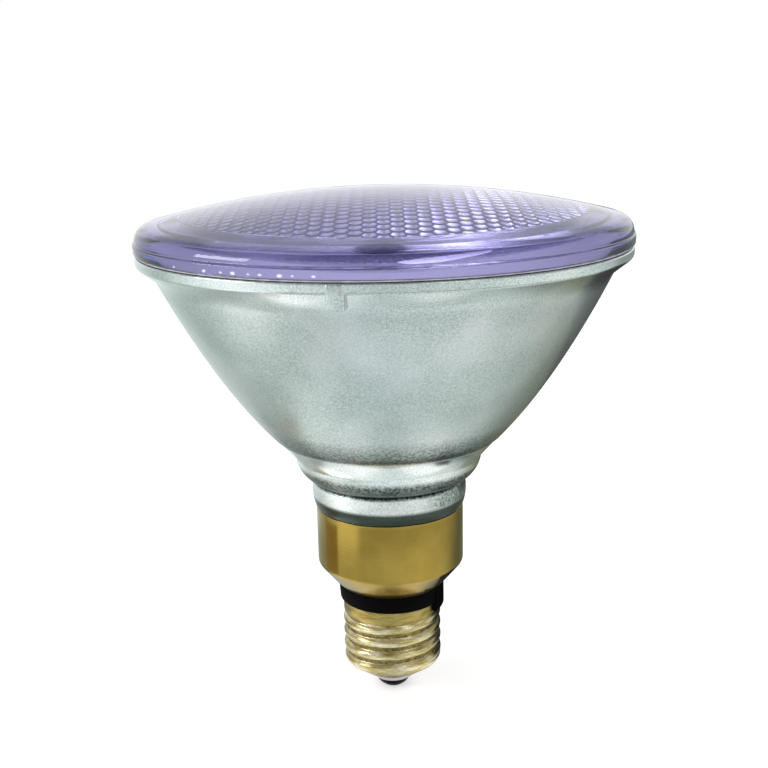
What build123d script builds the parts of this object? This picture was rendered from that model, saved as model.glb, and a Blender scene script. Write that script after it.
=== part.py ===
# Reflector lamp with a pressed glass bowl, a domed tinted lens and a skirted screw base.
# The contact tip is at the origin and the lamp's axis is +Z. The photograph looks along +Y.
import math
import os

from build123d import *

# Centre contact and its solder, at the bottom tip
contact_land_diameter = 4.8
solder_diameter = 6.4
solder_height = 0.6
contact_diameter = 9.2
contact_dish_height = 2.2
eyelet_bore = 1.4
eyelet_wall = 0.35

# Insulator between the contact and the screw shell
insulator_height = 2.5
insulator_step = 0.5
insulator_collar_height = 2.4
insulator_collar_width = 1.1

# Rolled screw shell, with seven turns to the inch
thread_major_diameter = 26.1
thread_depth = 0.75
thread_pitch = 3.629
thread_turns = 3.625
thread_root_land = 0.25
thread_start_angle = 225.0
crest_rise = 0.165
crest_width = 1.44
shell_wall = 0.4
shell_end_round = 2.0
shell_end_slope = 35.0
shell_mouth_diameter = 16.4
shoulder_drop = 0.1
shoulder_slope = 1.45
collar_height = 3.6
collar_drop = 0.12
collar_slope = 0.7

# Black insulating ring between the shell and the skirt
ring_height = 4.4
ring_overhang = 1.1
ring_taper = 0.35
ring_wall = 2.0
ring_spigot = 2.4
tab_drop = 2.2
tab_start_angle = -34.0
tab_sweep = 48.0

# Brass skirt
skirt_diameter = 38.6
skirt_wall = 0.45
skirt_cone_height = 6.4
skirt_straight_height = 15.4
skirt_bend = 1.2
skirt_lip = 1.2

# Pressed glass reflector: neck, two moulded rings, parabolic bowl and flange
neck_depth = 11.0
neck_wall = 2.6
cement_thickness = 0.8
bead_overhang = 0.1
lower_ring_height = 7.0
lower_ring_spread = 0.4
lower_ring_round = 12.0
groove_depth = 0.45
groove_height = 0.5
upper_ring_height = 6.3
upper_ring_spread = 4.4
upper_ring_round = 7.0
mirror_rise = 7.7
mirror_focal_length = 13.2
foot_rise = 12.4
foot_step = 0.75
glass_wall = 2.9
heel_rise = 1.9
heel_thickness = 4.2
rim_diameter = 123.0
flange_overhang = 4.6
flange_edge = 2.2
flange_taper = 3.4
flange_setback = 0.25

# Locating lug under the flange, a little left of the front
lug_width = 3.8
lug_angle = -99.5
lug_setback = 0.35

# Sealing bead and lens
seal_thickness = 0.6
seal_setback = 0.9
seal_width = 3.2
lens_bead_height = 2.2
lens_bead_step = 0.45
lens_side_height = 0.2
lens_edge_round = 3.6
lens_dome_radius = 240.0
lens_thickness = 3.4
lens_shoulder = 3.4
lens_margin = 4.4
lens_field_step = 0.5

# Quartz capsule in its ceramic holder
capsule_diameter = 12.0
capsule_wall = 1.0
capsule_straight_height = 10.0
capsule_crown_height = 4.0
capsule_tip_height = 2.4
capsule_tip_diameter = 3.2
pinch_width = 9.0
pinch_thickness = 3.4
pinch_height = 12.6
pin_spacing = 5.2
pin_diameter = 1.0
pin_tail = 3.0
foil_width = 2.0
foil_thickness = 0.2
foil_lift = 2.6
filament_diameter = 1.2
filament_leg_diameter = 0.5
holder_diameter = 16.0
holder_flange_width = 1.4
holder_flange_height = 1.2
holder_floor = 2.0
holder_slot_depth = 8.0

# Lead wires, welded to the pins, and the solder inside the shell
lead_diameter = 0.9
lead_straight = 8.0
shell_solder_height = 2.0
shell_solder_width = 3.0
shell_solder_reach = 1.2

# Fits
slip = 0.1
seat_gap = 0.3

os.makedirs("parts", exist_ok=True)

# Radii of the base
eyelet_bore_radius = eyelet_bore / 2
eyelet_radius = eyelet_bore_radius + eyelet_wall
contact_radius = contact_diameter / 2
solder_radius = solder_diameter / 2
crest_radius = thread_major_diameter / 2
root_radius = crest_radius - thread_depth
shell_bore_radius = root_radius - shell_wall
shell_mouth_radius = shell_mouth_diameter / 2
shoulder_radius = crest_radius - shoulder_drop
end_angle = math.radians(shell_end_slope)
end_cone_radius = shoulder_radius - shell_end_round * (1 - math.sin(end_angle))
collar_radius = crest_radius - collar_drop
collar_bore_radius = collar_radius - shell_wall
spigot_radius = collar_bore_radius - slip
ring_bore_radius = spigot_radius - ring_wall
ring_radius = collar_radius + ring_overhang
skirt_mouth_radius = ring_radius - skirt_lip
skirt_radius = skirt_diameter / 2
skirt_bore_radius = skirt_radius - skirt_wall

# Heights of the base above the contact tip
contact_top = solder_height + contact_dish_height
shell_bottom = contact_top + insulator_height
insulator_seat = shell_bottom + shell_wall / math.cos(end_angle)
insulator_top = insulator_seat + insulator_collar_height
end_cone_top = shell_bottom + (end_cone_radius - shell_mouth_radius) * math.tan(end_angle)
shoulder_top = end_cone_top + shell_end_round * math.cos(end_angle)
tube_bottom = shoulder_top + shoulder_slope
collar_bottom = shoulder_top + thread_turns * thread_pitch
tube_top = collar_bottom - collar_slope
shell_top = collar_bottom + collar_height
ring_top = shell_top + ring_height
skirt_corner = ring_top + skirt_cone_height
skirt_top = skirt_corner + skirt_straight_height

# Neck and moulded rings of the glass
neck_bottom = skirt_top - neck_depth
bead_bottom = skirt_top + seat_gap
lower_ring_top = bead_bottom + lower_ring_height
upper_ring_bottom = lower_ring_top + groove_height
upper_ring_top = upper_ring_bottom + upper_ring_height
neck_radius = skirt_bore_radius - cement_thickness
neck_bore_radius = neck_radius - neck_wall
bead_radius = skirt_radius + bead_overhang
lower_ring_radius = bead_radius + lower_ring_spread
upper_ring_radius = lower_ring_radius + upper_ring_spread

# Bowl: a parabolic mirror inside, and outside it a second parabola one wall away
mirror_vertex = skirt_top + mirror_rise
focus = mirror_vertex + mirror_focal_length
heel_top = mirror_vertex + heel_rise
heel_bottom = heel_top - heel_thickness
foot = mirror_vertex + foot_rise
rim_radius = rim_diameter / 2
flange_radius = rim_radius - flange_setback


def mirror_radius(height):
    return math.sqrt(4 * mirror_focal_length * (height - mirror_vertex))


def wall_across(radius):
    return glass_wall * math.hypot(1, 2 * mirror_focal_length / radius)


foot_radius = mirror_radius(foot) + wall_across(mirror_radius(foot))
mouth_radius = rim_radius - flange_overhang
mouth_mirror_radius = mouth_radius - wall_across(mouth_radius - glass_wall)
mouth = mirror_vertex + mouth_mirror_radius**2 / (4 * mirror_focal_length)
flange_bottom = mouth + flange_taper
flange_top = flange_bottom + flange_edge
flange_bore_radius = mirror_radius(flange_top)
bowl_focal_length = (mouth_radius**2 - foot_radius**2) / (mouth - foot) / 4
bowl_vertex = foot - foot_radius**2 / (4 * bowl_focal_length)

# Lens: its rounded edge is tangent to the straight side and to the dome
lens_bottom = flange_top + seal_thickness
lens_bead_top = lens_bottom + lens_bead_height
lens_side_top = lens_bead_top + lens_bead_step + lens_side_height
lens_side_radius = rim_radius - lens_bead_step
lens_foot_radius = rim_radius - seal_setback - seal_width
dome_angle = math.asin((lens_side_radius - lens_edge_round) / (lens_dome_radius - lens_edge_round))
dome_centre = lens_side_top - (lens_dome_radius - lens_edge_round) * math.cos(dome_angle)
dome_radius = lens_dome_radius * math.sin(dome_angle)
dome_bottom = dome_centre + lens_dome_radius * math.cos(dome_angle)
apex = dome_centre + lens_dome_radius
field_dome_radius = lens_dome_radius - lens_thickness
margin_radius = lens_foot_radius - lens_shoulder
field_radius = margin_radius - lens_margin
field_edge = dome_centre + math.sqrt(field_dome_radius**2 - field_radius**2)
margin_edge = dome_centre + math.sqrt(field_dome_radius**2 - margin_radius**2) - lens_field_step

# Capsule, its holder and the leads
holder_radius = holder_diameter / 2
well_radius = holder_radius + slip
holder_top = heel_top + holder_flange_height
pinch_bottom = holder_top - holder_slot_depth
holder_bottom = pinch_bottom - holder_floor
pinch_top = pinch_bottom + pinch_height
capsule_radius = capsule_diameter / 2
capsule_bore_radius = capsule_radius - capsule_wall
capsule_tip_radius = capsule_tip_diameter / 2
capsule_shoulder = pinch_top + capsule_straight_height
capsule_crown = capsule_shoulder + capsule_crown_height
foil_bottom = pinch_bottom + foil_lift
pin_offset = pin_spacing / 2
pin_radius = pin_diameter / 2
pin_bottom = holder_bottom - pin_tail
lead_radius = lead_diameter / 2
lead_turn = pin_bottom - lead_straight
shell_lead_x = ring_bore_radius - lead_radius - seat_gap


def parabola(low_radius, high_radius, focal_length, vertex):
    # A parabola is a quadratic curve, so three control points give it exactly.
    low = (low_radius, vertex + low_radius**2 / (4 * focal_length))
    high = (high_radius, vertex + high_radius**2 / (4 * focal_length))
    middle = ((low_radius + high_radius) / 2, vertex + low_radius * high_radius / (4 * focal_length))
    return Bezier(low, middle, high)


def finish_piece(builder, name):
    builder.part.label = name
    export_step(builder.part, f"parts/{name}.step")


# Solder drop that closes the contact, with the flat land that a lampholder touches
with BuildPart() as contact_solder:
    with BuildSketch(Plane.XZ):
        with BuildLine():
            Polyline(
                (0, 0),
                (contact_land_diameter / 2, 0),
                (solder_radius, solder_height),
                (0, solder_height),
                close=True,
            )
        make_face()
    revolve(axis=Axis.Z)
finish_piece(contact_solder, "contact_solder")

# Centre contact: a dished disc with an eyelet that holds it in the insulator
with BuildPart() as centre_contact:
    with BuildSketch(Plane.XZ):
        with BuildLine():
            Polyline(
                (eyelet_bore_radius, solder_height),
                (solder_radius, solder_height),
                (contact_radius, contact_top),
                (eyelet_radius, contact_top),
                (eyelet_radius, insulator_top),
                (eyelet_bore_radius, insulator_top),
                close=True,
            )
        make_face()
    revolve(axis=Axis.Z)
finish_piece(centre_contact, "centre_contact")

# Insulator: a cone below the shell's mouth and a collar that lies on the shell's sloping end
insulator_bore_radius = eyelet_radius + slip
insulator_neck_radius = shell_mouth_radius - slip
insulator_collar_radius = shell_mouth_radius + insulator_collar_width
insulator_collar_bottom = insulator_seat + insulator_collar_width * math.tan(end_angle)
with BuildPart() as contact_insulator:
    with BuildSketch(Plane.XZ):
        with BuildLine():
            Polyline(
                (insulator_bore_radius, contact_top),
                (contact_radius + insulator_step, contact_top),
                (insulator_neck_radius, shell_bottom),
                (insulator_neck_radius, insulator_seat - slip * math.tan(end_angle)),
                (insulator_collar_radius, insulator_collar_bottom),
                (insulator_collar_radius, insulator_top),
                (insulator_bore_radius, insulator_top),
                close=True,
            )
        make_face()
    revolve(axis=Axis.Z)
finish_piece(contact_insulator, "contact_insulator")

# Ridge of the rolled thread: a round crest on straight flanks, swept along a right-hand helix
# that rises out of the shoulder and ends in the collar
ridge_base = -shell_wall / 2
ridge_half = (thread_pitch - thread_root_land) / 2
crest_half = crest_width / 2
with BuildPart() as thread_ridge:
    with BuildLine() as thread_path:
        Helix(
            pitch=thread_pitch,
            height=thread_turns * thread_pitch,
            radius=root_radius,
            center=(0, 0, shoulder_top),
        )
    with BuildSketch(Plane(origin=thread_path.line @ 0, x_dir=(1, 0, 0), z_dir=(0, 1, 0))):
        with BuildLine():
            flank = Line((ridge_base, -ridge_half), (thread_depth - crest_rise, -crest_half))
            crest = ThreePointArc(flank @ 1, (thread_depth, 0), (thread_depth - crest_rise, crest_half))
            Polyline(crest @ 1, (ridge_base, ridge_half), flank @ 0)
        make_face()
    sweep(path=thread_path.line, is_frenet=True)

# Screw shell: one drawn cup with a sloping lower end, a round shoulder, the rolled thread
# and a plain collar
end_cone_bore_radius = end_cone_radius - shell_wall * math.sin(end_angle)
end_cone_bore_top = end_cone_top + shell_wall * math.cos(end_angle)
with BuildPart() as screw_shell:
    with BuildSketch(Plane.XZ):
        with BuildLine():
            end_cone = Line((shell_mouth_radius, shell_bottom), (end_cone_radius, end_cone_top))
            shoulder = RadiusArc(end_cone @ 1, (shoulder_radius, shoulder_top), -shell_end_round)
            Polyline(
                shoulder @ 1,
                (root_radius, tube_bottom),
                (root_radius, tube_top),
                (collar_radius, collar_bottom),
                (collar_radius, shell_top),
                (collar_bore_radius, shell_top),
                (collar_bore_radius, collar_bottom),
                (shell_bore_radius, tube_top),
                (shell_bore_radius, tube_bottom),
                (shoulder_radius - shell_wall, shoulder_top),
                (end_cone_bore_radius, end_cone_bore_top),
                (shell_mouth_radius, insulator_seat),
                end_cone @ 0,
            )
        make_face()
    revolve(axis=Axis.Z)
    add(thread_ridge.part, rotation=(0, 0, thread_start_angle))
finish_piece(screw_shell, "screw_shell")

# Insulating ring: a spigot in the shell's collar, a tapered body, a spigot in the skirt
# and one tab that hangs beside the collar
with BuildPart() as insulator_ring:
    with BuildSketch(Plane.XZ):
        with BuildLine():
            Polyline(
                (ring_bore_radius, shell_top - ring_spigot),
                (spigot_radius, shell_top - ring_spigot),
                (spigot_radius, shell_top),
                (ring_radius - ring_taper, shell_top),
                (ring_radius, ring_top),
                (skirt_mouth_radius - slip, ring_top),
                (skirt_mouth_radius - slip, ring_top + skirt_wall),
                (ring_bore_radius, ring_top + skirt_wall),
                close=True,
            )
        make_face()
    revolve(axis=Axis.Z)
    with BuildSketch(Plane.XY.offset(shell_top - tab_drop)):
        with BuildLine():
            outer_edge = CenterArc((0, 0), ring_radius, tab_start_angle, tab_sweep)
            inner_edge = CenterArc((0, 0), collar_radius + slip, tab_start_angle, tab_sweep)
            Line(outer_edge @ 0, inner_edge @ 0)
            Line(outer_edge @ 1, inner_edge @ 1)
        make_face()
    extrude(amount=tab_drop + ring_height)
finish_piece(insulator_ring, "insulator_ring")

# Brass skirt: a spun cup with a lip on the ring, a cone and a straight wall
cone_spread = skirt_radius - ring_radius
cone_length = math.hypot(cone_spread, skirt_cone_height)
corner_inset = skirt_wall * (cone_length - cone_spread) / skirt_cone_height
lip_inset = skirt_wall * (cone_length - skirt_cone_height) / cone_spread
with BuildPart() as skirt:
    with BuildSketch(Plane.XZ):
        with BuildLine():
            Polyline(
                (skirt_mouth_radius, ring_top),
                (ring_radius, ring_top),
                (skirt_radius, skirt_corner),
                (skirt_radius, skirt_top),
                (skirt_bore_radius, skirt_top),
                (skirt_bore_radius, skirt_corner + lip_inset),
                (ring_radius - corner_inset, ring_top + skirt_wall),
                (skirt_mouth_radius, ring_top + skirt_wall),
                close=True,
            )
        make_face()
    revolve(axis=Axis.Z)
    widest = skirt.edges().filter_by(GeomType.CIRCLE).group_by(SortBy.RADIUS)[-1]
    fillet(widest.sort_by(Axis.Z)[0], radius=skirt_bend)
finish_piece(skirt, "skirt")

# Basing cement that fills the gap between the glass neck and the skirt
with BuildPart() as basing_cement:
    with BuildSketch(Plane.XY.offset(neck_bottom)):
        Circle(skirt_bore_radius)
        Circle(neck_radius, mode=Mode.SUBTRACT)
    extrude(amount=neck_depth)
finish_piece(basing_cement, "basing_cement")

# Reflector: one pressing with a well, a hollow neck, two moulded rings, the bowl and a flange,
# and one locating lug under the flange
lug_inner = flange_bore_radius + seat_gap
lug_outer = flange_radius - lug_setback
with BuildPart() as reflector:
    with BuildSketch(Plane.XZ):
        with BuildLine():
            neck = Polyline(
                (well_radius, heel_top),
                (well_radius, heel_bottom),
                (neck_bore_radius, heel_bottom),
                (neck_bore_radius, neck_bottom),
                (neck_radius, neck_bottom),
                (neck_radius, bead_bottom),
                (bead_radius, bead_bottom),
            )
            lower_ring = RadiusArc(neck @ 1, (lower_ring_radius, lower_ring_top), -lower_ring_round)
            groove = Polyline(
                lower_ring @ 1,
                (lower_ring_radius - groove_depth, lower_ring_top + groove_height / 2),
                (lower_ring_radius, upper_ring_bottom),
            )
            upper_ring = RadiusArc(groove @ 1, (upper_ring_radius, upper_ring_top), -upper_ring_round)
            Polyline(
                upper_ring @ 1,
                (foot_radius - foot_step, foot - groove_height),
                (foot_radius, foot),
            )
            bowl = parabola(foot_radius, mouth_radius, bowl_focal_length, bowl_vertex)
            Polyline(
                bowl @ 1,
                (flange_radius, flange_bottom),
                (flange_radius, flange_top),
                (flange_bore_radius, flange_top),
            )
            mirror = parabola(mirror_radius(heel_top), flange_bore_radius, mirror_focal_length, mirror_vertex)
            Line(mirror @ 0, neck @ 0)
        make_face()
    revolve(axis=Axis.Z)
    with BuildSketch(Plane.XY.offset(mouth).rotated((0, 0, lug_angle))):
        with Locations(((lug_inner + lug_outer) / 2, 0)):
            Rectangle(lug_outer - lug_inner, lug_width)
    extrude(amount=flange_taper + flange_edge / 2)
finish_piece(reflector, "reflector")

# Sealing bead between the flange and the lens
with BuildPart() as seal_ring:
    with BuildSketch(Plane.XY.offset(flange_top)):
        Circle(rim_radius - seal_setback)
        Circle(lens_foot_radius, mode=Mode.SUBTRACT)
    extrude(amount=seal_thickness)
finish_piece(seal_ring, "seal_ring")

# Lens: a domed disc with a thick rim bead, a smooth margin and a raised field on its inner face
with BuildPart() as lens:
    with BuildSketch(Plane.XZ):
        with BuildLine():
            rim = Polyline(
                (lens_foot_radius, lens_bottom),
                (rim_radius, lens_bottom),
                (rim_radius, lens_bead_top),
                (lens_side_radius, lens_bead_top + lens_bead_step),
                (lens_side_radius, lens_side_top),
            )
            edge = RadiusArc(rim @ 1, (dome_radius, dome_bottom), -lens_edge_round)
            outside = RadiusArc(edge @ 1, (0, apex), -lens_dome_radius)
            axis = Line(outside @ 1, (0, apex - lens_thickness))
            field = RadiusArc(axis @ 1, (field_radius, field_edge), field_dome_radius)
            Polyline(
                field @ 1,
                (field_radius, field_edge - lens_field_step),
                (margin_radius, margin_edge),
                rim @ 0,
            )
        make_face()
    revolve(axis=Axis.Z)
finish_piece(lens, "lens")

# Filament: a fine coil across the mirror's focus, drawn as a rod, on two legs that stand on the foils
with BuildPart() as filament:
    with BuildSketch(Plane.YZ.offset(-pin_offset)):
        with Locations((0, focus)):
            Circle(filament_diameter / 2)
    extrude(amount=pin_spacing)
    with BuildSketch(Plane.XY.offset(pinch_top)):
        with Locations((-pin_offset, 0), (pin_offset, 0)):
            Circle(filament_leg_diameter / 2)
    extrude(amount=focus - pinch_top)
finish_piece(filament, "filament")

# On each side of the capsule: a foil in the pinch and a pin below it
foils = []
pins = []
for side_name, side_x in (("left", -pin_offset), ("right", pin_offset)):
    with BuildPart() as foil:
        with BuildSketch(Plane.XY.offset(foil_bottom)):
            with Locations((side_x, 0)):
                Rectangle(foil_width, foil_thickness)
        extrude(amount=pinch_top - foil_bottom)
    finish_piece(foil, f"foil_{side_name}")
    foils.append(foil.part)

    with BuildPart() as pin:
        with BuildSketch(Plane.XY.offset(pin_bottom)):
            with Locations((side_x, 0)):
                Circle(pin_radius)
        extrude(amount=foil_bottom - pin_bottom)
    finish_piece(pin, f"pin_{side_name}")
    pins.append(pin.part)

# Quartz capsule: a hollow bulb with a sealed tip, drawn flat at the pinch round foils and pins
with BuildPart() as capsule_envelope:
    with BuildSketch(Plane.XZ):
        with BuildLine():
            Polyline(
                (0, pinch_top - capsule_wall),
                (capsule_radius, pinch_top - capsule_wall),
                (capsule_radius, capsule_shoulder),
                (capsule_tip_radius, capsule_crown),
                (0, capsule_crown + capsule_tip_height),
                (0, capsule_shoulder),
                (capsule_bore_radius, capsule_shoulder),
                (capsule_bore_radius, pinch_top),
                (0, pinch_top),
                close=True,
            )
        make_face()
    revolve(axis=Axis.Z)
    with BuildSketch(Plane.XY.offset(pinch_bottom)):
        Rectangle(pinch_width, pinch_thickness)
    extrude(amount=pinch_height)
    add([*foils, *pins], mode=Mode.SUBTRACT)
finish_piece(capsule_envelope, "capsule_envelope")

# Ceramic holder: a flanged bush in the reflector's well, with a slot for the pinch and one for the pins
with BuildPart() as capsule_holder:
    with BuildSketch(Plane.XY.offset(holder_bottom)):
        Circle(holder_radius)
    extrude(amount=heel_top - holder_bottom)
    with BuildSketch(Plane.XY.offset(heel_top)):
        Circle(well_radius + holder_flange_width)
    extrude(amount=holder_flange_height)
    with BuildSketch(Plane.XY.offset(holder_top)):
        Rectangle(pinch_width + 2 * slip, pinch_thickness + 2 * slip)
    extrude(amount=-holder_slot_depth, mode=Mode.SUBTRACT)
    with BuildSketch(Plane.XY.offset(holder_bottom)):
        Rectangle(pin_spacing + pin_diameter + 2 * slip, pin_diameter + 2 * slip)
    extrude(amount=holder_floor, mode=Mode.SUBTRACT)
finish_piece(capsule_holder, "capsule_holder")

# Lead from the left pin down the axis to the centre contact
with BuildPart() as lead_contact:
    with BuildLine() as contact_route:
        Polyline(
            (-pin_offset, 0, pin_bottom),
            (-pin_offset, 0, lead_turn),
            (0, 0, ring_top),
            (0, 0, solder_height),
        )
    with BuildSketch(Plane.XY.offset(pin_bottom)):
        with Locations((-pin_offset, 0)):
            Circle(lead_radius)
    sweep(path=contact_route.line, transition=Transition.RIGHT)
finish_piece(lead_contact, "lead_contact")

# Lead from the right pin through the ring to the solder inside the screw shell
with BuildPart() as lead_shell:
    with BuildLine() as shell_route:
        Polyline(
            (pin_offset, 0, pin_bottom),
            (pin_offset, 0, lead_turn),
            (shell_lead_x, 0, ring_top + skirt_cone_height / 2),
            (shell_lead_x, 0, tube_top),
        )
    with BuildSketch(Plane.XY.offset(pin_bottom)):
        with Locations((pin_offset, 0)):
            Circle(lead_radius)
    sweep(path=shell_route.line, transition=Transition.RIGHT)
finish_piece(lead_shell, "lead_shell")

# Solder between that lead and the shell's wall
with BuildPart() as shell_solder:
    with BuildSketch(Plane.XY.offset(tube_top)):
        with Locations((shell_lead_x - shell_solder_reach, 0)):
            Rectangle(shell_bore_radius, shell_solder_width, align=(Align.MIN, Align.CENTER))
        Circle(shell_bore_radius, mode=Mode.INTERSECT)
    extrude(amount=-shell_solder_height)
finish_piece(shell_solder, "shell_solder")
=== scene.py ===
import math

import bmesh
import bpy
from mathutils import Matrix, Vector, noise


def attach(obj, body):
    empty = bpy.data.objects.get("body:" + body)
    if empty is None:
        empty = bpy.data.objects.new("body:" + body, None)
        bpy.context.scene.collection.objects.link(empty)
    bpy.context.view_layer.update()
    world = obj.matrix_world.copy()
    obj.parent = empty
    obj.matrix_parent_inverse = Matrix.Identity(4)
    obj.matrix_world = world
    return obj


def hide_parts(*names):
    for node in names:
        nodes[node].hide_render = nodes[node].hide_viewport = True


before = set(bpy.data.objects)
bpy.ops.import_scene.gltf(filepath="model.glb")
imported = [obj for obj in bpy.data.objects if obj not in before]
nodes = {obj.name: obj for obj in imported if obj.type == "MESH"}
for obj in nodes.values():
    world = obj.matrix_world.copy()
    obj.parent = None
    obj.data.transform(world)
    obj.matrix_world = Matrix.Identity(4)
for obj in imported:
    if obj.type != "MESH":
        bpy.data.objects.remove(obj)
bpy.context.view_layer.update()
scene = bpy.context.scene
mm = 0.001
print("frame loaded:", len(nodes), "nodes")


def linearColour(hexCode):
    channels = [int(hexCode[i:i + 2], 16) / 255 for i in (1, 3, 5)]
    return (*[c / 12.92 if c <= 0.04045 else ((c + 0.055) / 1.055) ** 2.4 for c in channels], 1.0)


def addNode(tree, kind, settings=None, inputs=None, feeds=None):
    # an input takes a value, a hex colour or a socket to link from; feeds links the outputs on, and stops
    # colour a ramp
    node = tree.nodes.new(kind)
    for key, value in (settings or {}).items():
        if key != "stops":
            setattr(node, key, value)
            continue
        elements = node.color_ramp.elements
        while len(elements) < len(value):
            elements.new(0.5)
        for element, (position, hexCode) in zip(elements, value):
            element.position = position
            element.color = linearColour(hexCode)
    for key, value in (inputs or {}).items():
        if isinstance(value, bpy.types.NodeSocket):
            tree.links.new(value, node.inputs[key])
        else:
            node.inputs[key].default_value = linearColour(value) if isinstance(value, str) else value
    for key, socket in (feeds or {}).items():
        tree.links.new(node.outputs[key], socket)
    return node


def newMaterial(name, values):
    material = bpy.data.materials.new(name)
    material.use_nodes = True
    tree = material.node_tree
    sockets = tree.nodes["Principled BSDF"].inputs
    for key, value in values.items():
        sockets[key].default_value = linearColour(value) if isinstance(value, str) else value
    place = addNode(tree, "ShaderNodeTexCoord").outputs["Object"]
    return material, tree, sockets, place


def grainScale(size):
    # size is the width of one grain in millimetres
    return 1 / (size * mm)


def mottle(tree, sockets, place, grain, detail, stops):
    # the colour drifts between two or more tones, in spots as wide as the grain
    spots = addNode(tree, "ShaderNodeTexNoise", inputs={
        "Vector": place, "Scale": grainScale(grain), "Detail": detail, "Roughness": 0.55}).outputs["Fac"]
    addNode(tree, "ShaderNodeValToRGB", {"stops": stops}, {"Fac": spots}, {"Color": sockets["Base Color"]})
    return spots


# Violet glass, coloured in the melt and pressed with a fire-polished face: clear, smooth and glossy at a low
# angle, and the colour deepens with the length of glass that the light crosses.
lensLook = {"tint": "#7E70E4", "density": 74.0, "ripple": 9.0, "clearTone": "#F6F3FF", "patchTone": "#565680",
            "darkPatch": (-0.7, -58.9, 127.0), "darkPatchReach": (6.6, 3.4, 1.25), "speckle": 0.5}
violetGlass, tree, sockets, place = newMaterial("violetGlass", {
    "Roughness": 0.015, "IOR": 1.47, "Transmission Weight": 1.0})
addNode(tree, "ShaderNodeVolumeAbsorption",
        inputs={"Color": lensLook["tint"], "Density": lensLook["density"]},
        feeds={"Volume": tree.nodes["Material Output"].inputs["Volume"]})
ripple = addNode(tree, "ShaderNodeTexNoise", inputs={
    "Vector": place, "Scale": grainScale(lensLook["ripple"]), "Detail": 1.0, "Roughness": 0.55})
addNode(tree, "ShaderNodeBump", feeds={"Normal": sockets["Normal"]}, inputs={
    "Height": ripple.outputs["Fac"], "Strength": 0.25, "Distance": 0.12 * mm})
# a dark patch with a speckled edge is painted on the shoulder in front: a painted reflection of something
# dark above the camera
darkPatch = addNode(tree, "ShaderNodeMapping", {"vector_type": "TEXTURE"}, {
    "Vector": place, "Location": Vector(lensLook["darkPatch"]) * mm,
    "Scale": Vector(lensLook["darkPatchReach"]) * mm}).outputs["Vector"]
spread = addNode(tree, "ShaderNodeTexGradient", {"gradient_type": "SPHERICAL"}, {"Vector": darkPatch})
speckle = addNode(tree, "ShaderNodeTexNoise", inputs={
    "Vector": place, "Scale": grainScale(lensLook["speckle"]), "Detail": 2.0, "Roughness": 0.55})
patchMask = addNode(tree, "ShaderNodeMath", {"operation": "MULTIPLY"}, {
    0: spread.outputs["Fac"], 1: speckle.outputs["Fac"]})
addNode(tree, "ShaderNodeValToRGB", {"stops": [(0.03, lensLook["clearTone"]), (0.14, lensLook["patchTone"])]},
        {"Fac": patchMask.outputs["Value"]}, {"Color": sockets["Base Color"]})

# Aluminium film, evaporated on polished glass: a bright mirror with a slight haze.
mirrorFilm, tree, sockets, place = newMaterial("mirrorFilm", {"Metallic": 1.0, "Roughness": 0.06})
mottle(tree, sockets, place, 6.0, 3.0, [(0.3, "#DDE0E0"), (0.7, "#ECEDEC")])

# Pressed clear glass over the film: a satin silver with the grey-green of thick glass, a fine stipple from
# the mould on the bowl, and fire-polished rings, painted white as a painted highlight. The creases are
# darker, partly where the film thins out and partly as painted shade, and the neck's lower end is painted
# shade.
bowlLook = {
    "bottom": 52.6, "top": 121.0, "grain": 0.38, "pebble": 0.66, "cloud": 24.0,
    "litAndShadedBands": [(52.9, "#26332B"), (55.5, "#3E4B41"), (56.4, "#FFFFFF"), (59.3, "#FFFFFF"), (59.9, "#76827D"),
              (61.8, "#5C6963"), (63.8, "#84918C"), (65.2, "#F7F9F8"), (71.5, "#F3F6F5"), (72.3, "#4A5853"),
              (74.2, "#909D99"), (79.0, "#CAD2D1"), (112.0, "#D5DBDB"), (116.0, "#D8DDDD"),
              (120.4, "#DCE1E1")],
    "grainy": [(52.9, "#000000"), (56.0, "#484848"), (59.4, "#484848"), (60.0, "#FFFFFF"), (63.8, "#F0F0F0"),
               (65.4, "#101010"), (71.5, "#101010"), (72.2, "#FFFFFF"), (74.6, "#D0D0D0"), (79.0, "#707070"),
               (85.0, "#484848"), (111.0, "#484848"), (116.0, "#181818")],
    "lowRing": [(55.8, "#000000"), (56.4, "#FFFFFF"), (59.4, "#FFFFFF"), (60.2, "#000000")],
    "shadeFrom": 7.0, "shadeTo": 13.0}
bowlGlass, tree, sockets, place = newMaterial("bowlGlass", {
    "Metallic": 1.0, "Coat Weight": 0.5, "Coat Roughness": 0.14, "Coat IOR": 1.47})
position = addNode(tree, "ShaderNodeSeparateXYZ", inputs={0: place}).outputs
low, high = bowlLook["bottom"], bowlLook["top"]
along = addNode(tree, "ShaderNodeMapRange", inputs={
    "Value": position["Z"], "From Min": low * mm, "From Max": high * mm}).outputs["Result"]
# colours along the height: painted highlights on the rings, painted shade in the creases and at the neck's
# lower end
litAndShadedBands, grainy, lowRing = [
    addNode(tree, "ShaderNodeValToRGB", {
        "stops": [((level - low) / (high - low), hexCode) for level, hexCode in bowlLook[layer]]},
        {"Fac": along}).outputs["Color"] for layer in ("litAndShadedBands", "grainy", "lowRing")]
clouds, grain, pebble = [
    addNode(tree, "ShaderNodeTexNoise", inputs={
        "Vector": place, "Scale": grainScale(bowlLook[layer]), "Detail": detail,
        "Roughness": rough}).outputs["Fac"]
    for layer, detail, rough in (("cloud", 2.0, 0.55), ("grain", 3.0, 0.7), ("pebble", 2.0, 0.6))]
tone, patches, fine, coarse, spots = [
    addNode(tree, "ShaderNodeValToRGB", {"stops": stops}, {"Fac": source}).outputs["Color"]
    for source, stops in (
        (clouds, [(0.3, "#E6EBE8"), (0.7, "#FFFFFF")]), (clouds, [(0.42, "#FFFFFF"), (0.6, "#B4B4B4")]),
        (grain, [(0.36, "#CAD2CE"), (0.61, "#FFFFFF")]), (pebble, [(0.43, "#19211E"), (0.56, "#FFFFFF")]),
        (pebble, [(0.4, "#73807A"), (0.6, "#C8D1CD")]))]
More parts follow.
